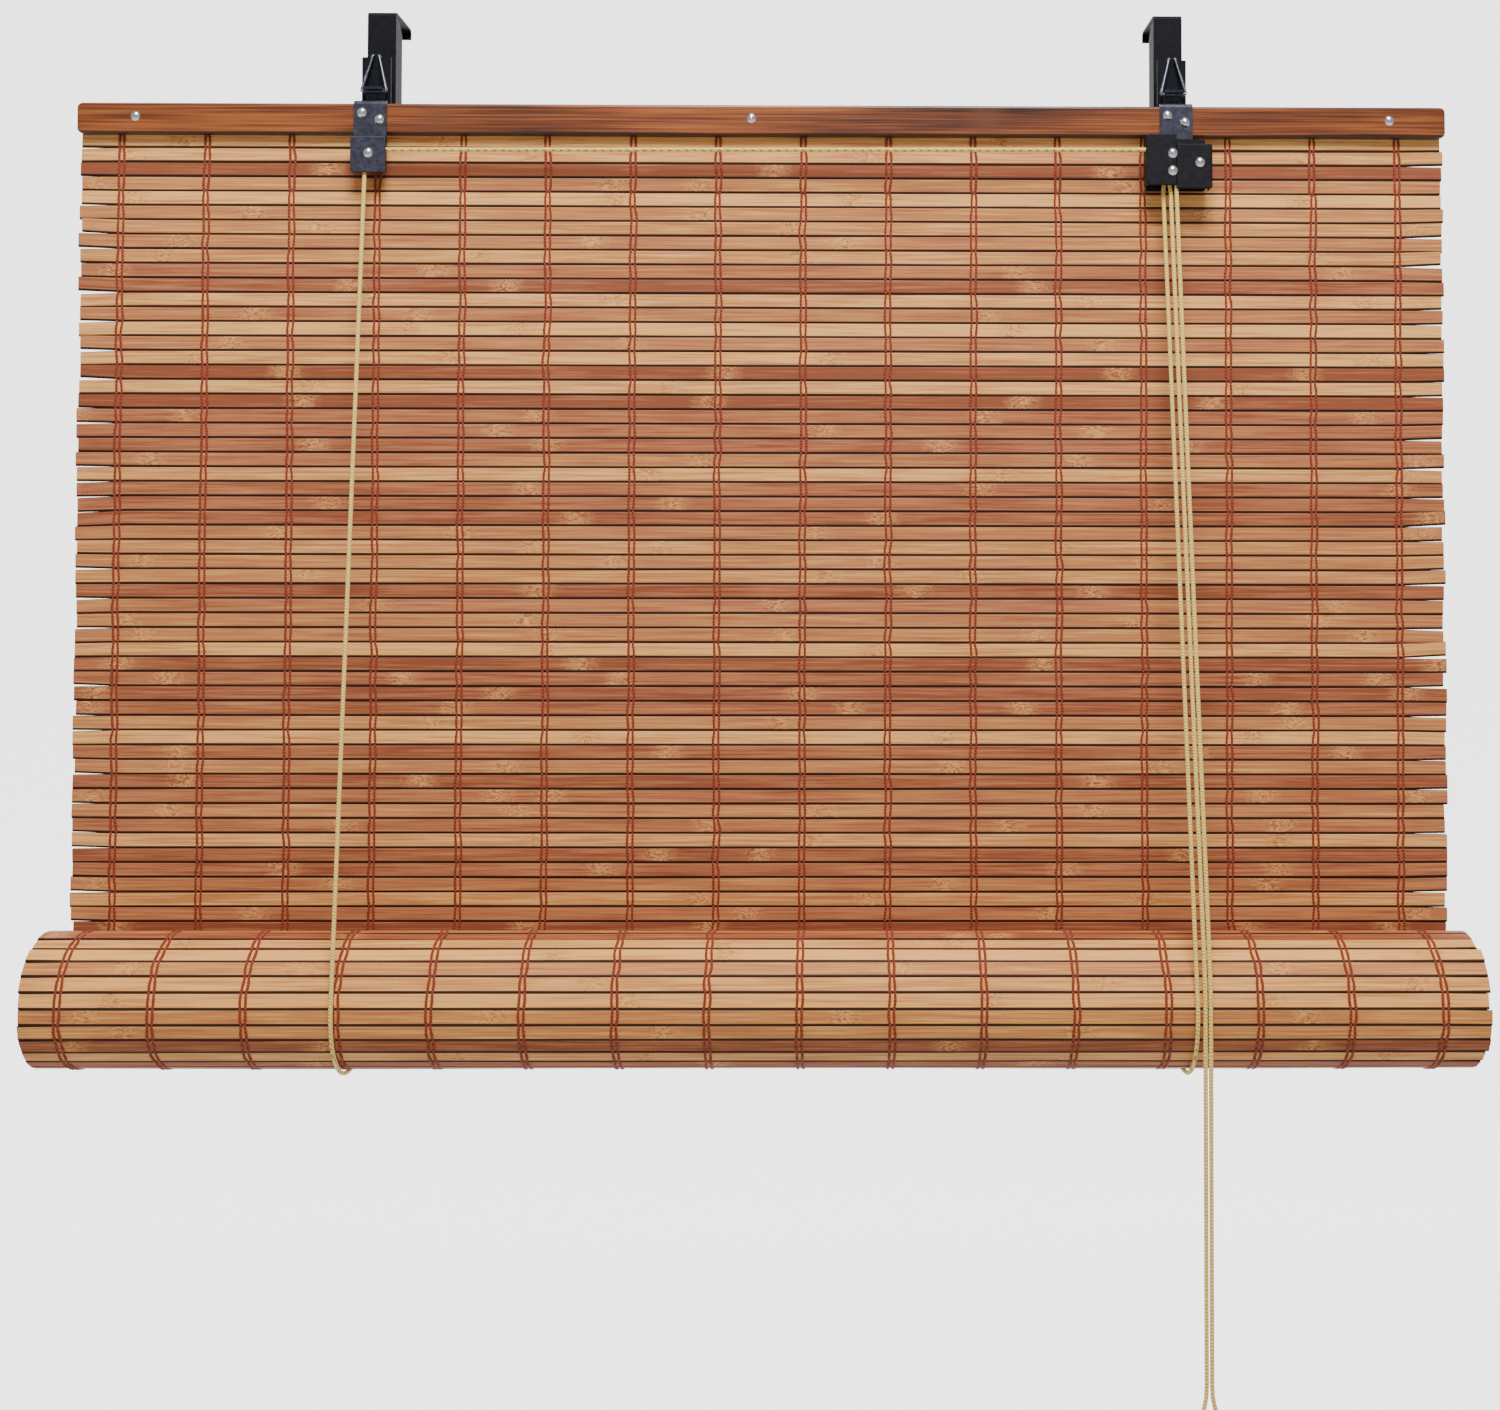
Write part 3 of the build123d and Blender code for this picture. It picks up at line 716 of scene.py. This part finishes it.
# Lift cords and pull cords
pin_wrap = 2.4 * mm
lock_exit_z = lath_top - 51.2 * mm
cover_exit_z = lath_top - 41.6 * mm
left_layer_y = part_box("cross_cord")[1].y - cord_radius
lift_layer_y = -44.1 * mm
right_layer_y = -46.7 * mm
left_pull_layer_y = -49.3 * mm
lock_pin_x = 237.5 * mm
strands = {
    "left_front_cord": ((-231.4 * mm, left_layer_y, cover_exit_z), -228 * mm),
    "right_front_cord": ((233.2 * mm, lift_layer_y, lock_exit_z), 238 * mm),
}
for name, (top, foot_x) in strands.items():
    fall = top[2] - roll_z
    lean = math.asin(sling_radius / math.hypot(top[1] - roll_y, fall)) - math.atan2(
        roll_y - top[1], fall
    )
    foot = (
        foot_x,
        roll_y - sling_radius * math.cos(lean),
        roll_z + sling_radius * math.sin(lean),
    )
    line = [top, Vector(top).lerp(Vector(foot), 0.5), foot]
    piece = new_piece(
        name.replace("_cord", "_strand"),
        curve_mesh(name, [line], cord_radius, 12, 3),
        cord_cotton,
        "blind_head",
        [name],
    )
    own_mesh(piece)
    side = name.split("_")[0]
    sling_line = [(foot_x, back_y, roll_z)]
    for degrees in (-27, -72, -117, -162):
        angle = math.radians(degrees)
        corner = sling_radius / math.cos(math.radians(22.5))
        sling_line.append(
            (foot_x, roll_y + corner * math.cos(angle), roll_z + corner * math.sin(angle))
        )
    sling_line.append(foot)
    sling = bpy.data.objects.new(
        f"{side}_cord_sling", new_curve(name, [sling_line], cord_radius, 12, 3)
    )
    bpy.context.scene.collection.objects.link(sling)
    sling.data.materials.append(cord_cotton)
    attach(sling, "roll_carriage")
    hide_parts(f"{side}_sling")
    top_z = lath_top - lath_height
    back_line = [
        (foot_x, back_y, top_z),
        (foot_x, back_y, (roll_z + lath_top) / 2),
        (foot_x, back_y, roll_z),
    ]
    piece = new_piece(
        f"{side}_back_strand",
        curve_mesh(f"{side}_back", [back_line], cord_radius, 12, 3),
        cord_cotton,
        "blind_head",
        [f"{side}_back_cord"],
    )
    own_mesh(piece)

left_pin_z = lath_top - 30.3 * mm
cross_z = lath_top - 27.6 * mm
cross_line = [
    (-231.4 * mm, left_layer_y, cover_exit_z),
    (-231.4 * mm, left_layer_y, left_pin_z + pin_wrap),
    (-223 * mm, left_layer_y, left_pin_z + pin_wrap),
    (231 * mm, left_pull_layer_y, cross_z),
    (lock_pin_x + pin_wrap, left_pull_layer_y, cross_z),
    (lock_pin_x + pin_wrap, left_pull_layer_y, lock_exit_z),
]
cross = bpy.data.objects.new(
    "cross_strand", new_curve("cross_strand", [cross_line], cord_radius, 12, 3)
)
bpy.context.scene.collection.objects.link(cross)
cross.data.materials.append(cord_cotton)
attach(cross, "blind_head")
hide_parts("cross_cord")

# Pull cords: over the roll's front, down to the coil, round it and out to the turned pull
coil_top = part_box("coil_tie")[1].z
coil_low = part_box("cord_coil")[0].z
coil_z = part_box("cord_coil")[1].z / 2 + coil_low / 2
pull_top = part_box("cord_pull")[1].z
slot_pitch = 2.45 * mm


def coil_slots(side):
    """Where the turns of one cord lie in the coil's section: in along its face, back inside."""
    rows = [(row, 7 - abs(row)) for row in range(3, -4, -1)]
    outer = []
    inner = []
    for row, count in rows:
        reach = [(count - 1) / 2 - place for place in range(count // 2)]
        height = row * slot_pitch * 0.866
        outer.append((height, side * reach[0] * slot_pitch))
        for place in reach[1:]:
            inner.append((height, side * place * slot_pitch))
    return outer + inner[::-1]


pulls = (
    ("left", left_pull_x, 1, (lock_pin_x + pin_wrap, left_pull_layer_y, lock_exit_z)),
    ("right", right_pull_x, -1, (lock_pin_x - 0.5 * mm, right_layer_y, lock_exit_z)),
)
for name, pull_x, side, exit_point in pulls:
    drape_line = [
        exit_point,
        Vector(exit_point).lerp(Vector((pull_x, front_y, roll_z)), 0.45),
        (pull_x, front_y + 1.2 * mm, roll_z + 24 * mm),
        (pull_x, front_y, roll_z + 6 * mm),
        (pull_x, front_y, roll_z),
    ]
    drape = new_piece(
        f"{name}_pull_strand",
        curve_mesh(f"{name}_pull_strand", [drape_line], cord_radius, 12, 3),
        cord_cotton,
        "blind_head",
        [f"{name}_pull_drape"],
    )
    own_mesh(drape)
    line = [
        (pull_x, front_y, roll_z),
        (pull_x, front_y, roll_z - 60 * mm),
        (pull_x, front_y, coil_top + 30 * mm),
        (pull_x, front_y, coil_top + 2 * mm),
    ]
    slots = coil_slots(side)
    steps = len(slots) * turn_points + turn_points // 2
    for step in range(1, steps):
        height, depth = slots[min(step // turn_points, len(slots) - 1)]
        angle = 2 * math.pi * step / turn_points
        radius = coil_radius + height
        line.append(
            (
                coil_x + side * radius * math.sin(angle),
                front_y + depth,
                coil_z + radius * math.cos(angle),
            )
        )
    line += [
        (pull_x, front_y, coil_low - 1 * mm),
        (pull_x, front_y, pull_top),
    ]
    pull_cord = bpy.data.objects.new(
        f"{name}_pull_rope", new_curve(f"{name}_pull_rope", [line], cord_radius, 4, 2)
    )
    bpy.context.scene.collection.objects.link(pull_cord)
    pull_cord.data.materials.append(cord_cotton)
    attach(pull_cord, "roll_carriage")
    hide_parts(f"{name}_pull_cord", "cord_coil", "cord_tails")

# Tie: four close turns of the same cord round the coil
tie_line = []
for step in range(4 * turn_points + 1):
    angle = 2 * math.pi * step / turn_points
    radius = 9.6 * mm
    tie_line.append(
        (
            coil_x + (step / (4 * turn_points) - 0.5) * 6 * mm,
            front_y + radius * math.sin(angle),
            coil_z + coil_radius + radius * math.cos(angle),
        )
    )
tie = bpy.data.objects.new(
    "coil_tie_turns", new_curve("coil_tie_turns", [tie_line], 0.75 * mm, 4, 2)
)
bpy.context.scene.collection.objects.link(tie)
tie.data.materials.append(cord_cotton)
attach(tie, "roll_carriage")
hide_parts("coil_tie")

# Camera
lens_width = 36
camera_data = bpy.data.cameras.new("photo_camera")
camera_data.sensor_width = lens_width
camera_data.lens = camera_focal / photo_width * lens_width
camera_data.shift_x = (photo_width / 2 - camera_centre[0]) / photo_width
camera_data.shift_y = (camera_centre[1] - photo_height / 2) / photo_width
camera = bpy.data.objects.new("photo_camera", camera_data)
bpy.context.scene.collection.objects.link(camera)
# The fit turns the world to axes of right, forwards and up
to_camera = Matrix.Rotation(camera_turn.length, 3, camera_turn.normalized())
right, forward, up = to_camera.row
camera.matrix_world = (
    Matrix.Translation(camera_place)
    @ Matrix((right, up, -Vector(forward))).transposed().to_4x4()
)
bpy.context.scene.camera = camera


# Studio: one pale sweep of paper, its wall lit more than its floor
sweep_reach = 8
sweep_back = 3.4
floor_z = -3.4
bend_radius = 1
wall_height = 6
sweep_material, _, sweep_shader = new_material("pale_paper", Roughness=0.9)
sweep_shader.inputs["Base Color"].default_value = linear("#efeeec")
sweep_shader.inputs["Emission Color"].default_value = linear("#ffffff")
sweep_shader.inputs["Emission Strength"].default_value = 0.18
lit_material, _, lit_shader = new_material("lit_paper", Roughness=0.9)
lit_shader.inputs["Base Color"].default_value = linear("#f6f6f5")
lit_shader.inputs["Emission Color"].default_value = linear("#ffffff")
lit_shader.inputs["Emission Strength"].default_value = 2.4
sweep = bmesh.new()
first = sweep.verts.new((-sweep_reach, -sweep_reach, floor_z))
second = sweep.verts.new((-sweep_reach, sweep_back, floor_z))
sweep.edges.new((first, second))
bend = bmesh.ops.spin(
    sweep,
    geom=[second],
    cent=(-sweep_reach, sweep_back, floor_z + bend_radius),
    axis=(1, 0, 0),
    angle=math.radians(90),
    steps=16,
)
wall = bmesh.ops.extrude_vert_indiv(
    sweep, verts=[item for item in bend["geom_last"] if isinstance(item, bmesh.types.BMVert)]
)
bmesh.ops.translate(sweep, verts=wall["verts"], vec=(0, 0, wall_height))
width = bmesh.ops.extrude_edge_only(sweep, edges=sweep.edges[:])
bmesh.ops.translate(
    sweep,
    verts=[item for item in width["geom"] if isinstance(item, bmesh.types.BMVert)],
    vec=(2 * sweep_reach, 0, 0),
)
bmesh.ops.recalc_face_normals(sweep, faces=sweep.faces)
sweep_mesh = bpy.data.meshes.new("studio_sweep")
sweep.to_mesh(sweep_mesh)
sweep.free()
sweep_mesh.materials.append(sweep_material)
sweep_mesh.materials.append(lit_material)
for face in sweep_mesh.polygons:
    face.use_smooth = True
    face.material_index = int(face.center.z > floor_z + 10 * mm)
studio_sweep = bpy.data.objects.new("studio_sweep", sweep_mesh)
bpy.context.scene.collection.objects.link(studio_sweep)

world = bpy.data.worlds.new("studio")
world.use_nodes = True
world.node_tree.nodes["Background"].inputs["Color"].default_value = (1, 1, 1, 1)
world.node_tree.nodes["Background"].inputs["Strength"].default_value = 0.42
bpy.context.scene.world = world


def soft_light(name, place, aim, size, power):
    """A square soft light that faces a point."""
    data = bpy.data.lights.new(name, "AREA")
    data.size = size
    data.energy = power
    light = bpy.data.objects.new(name, data)
    bpy.context.scene.collection.objects.link(light)
    direction = Vector(aim) - Vector(place)
    light.matrix_world = (
        Matrix.Translation(place) @ direction.to_track_quat("-Z", "Y").to_matrix().to_4x4()
    )


soft_light("overhead_key", (0.1, -1.15, 1.35), (0.05, 0, -0.4), 0.8, 62)
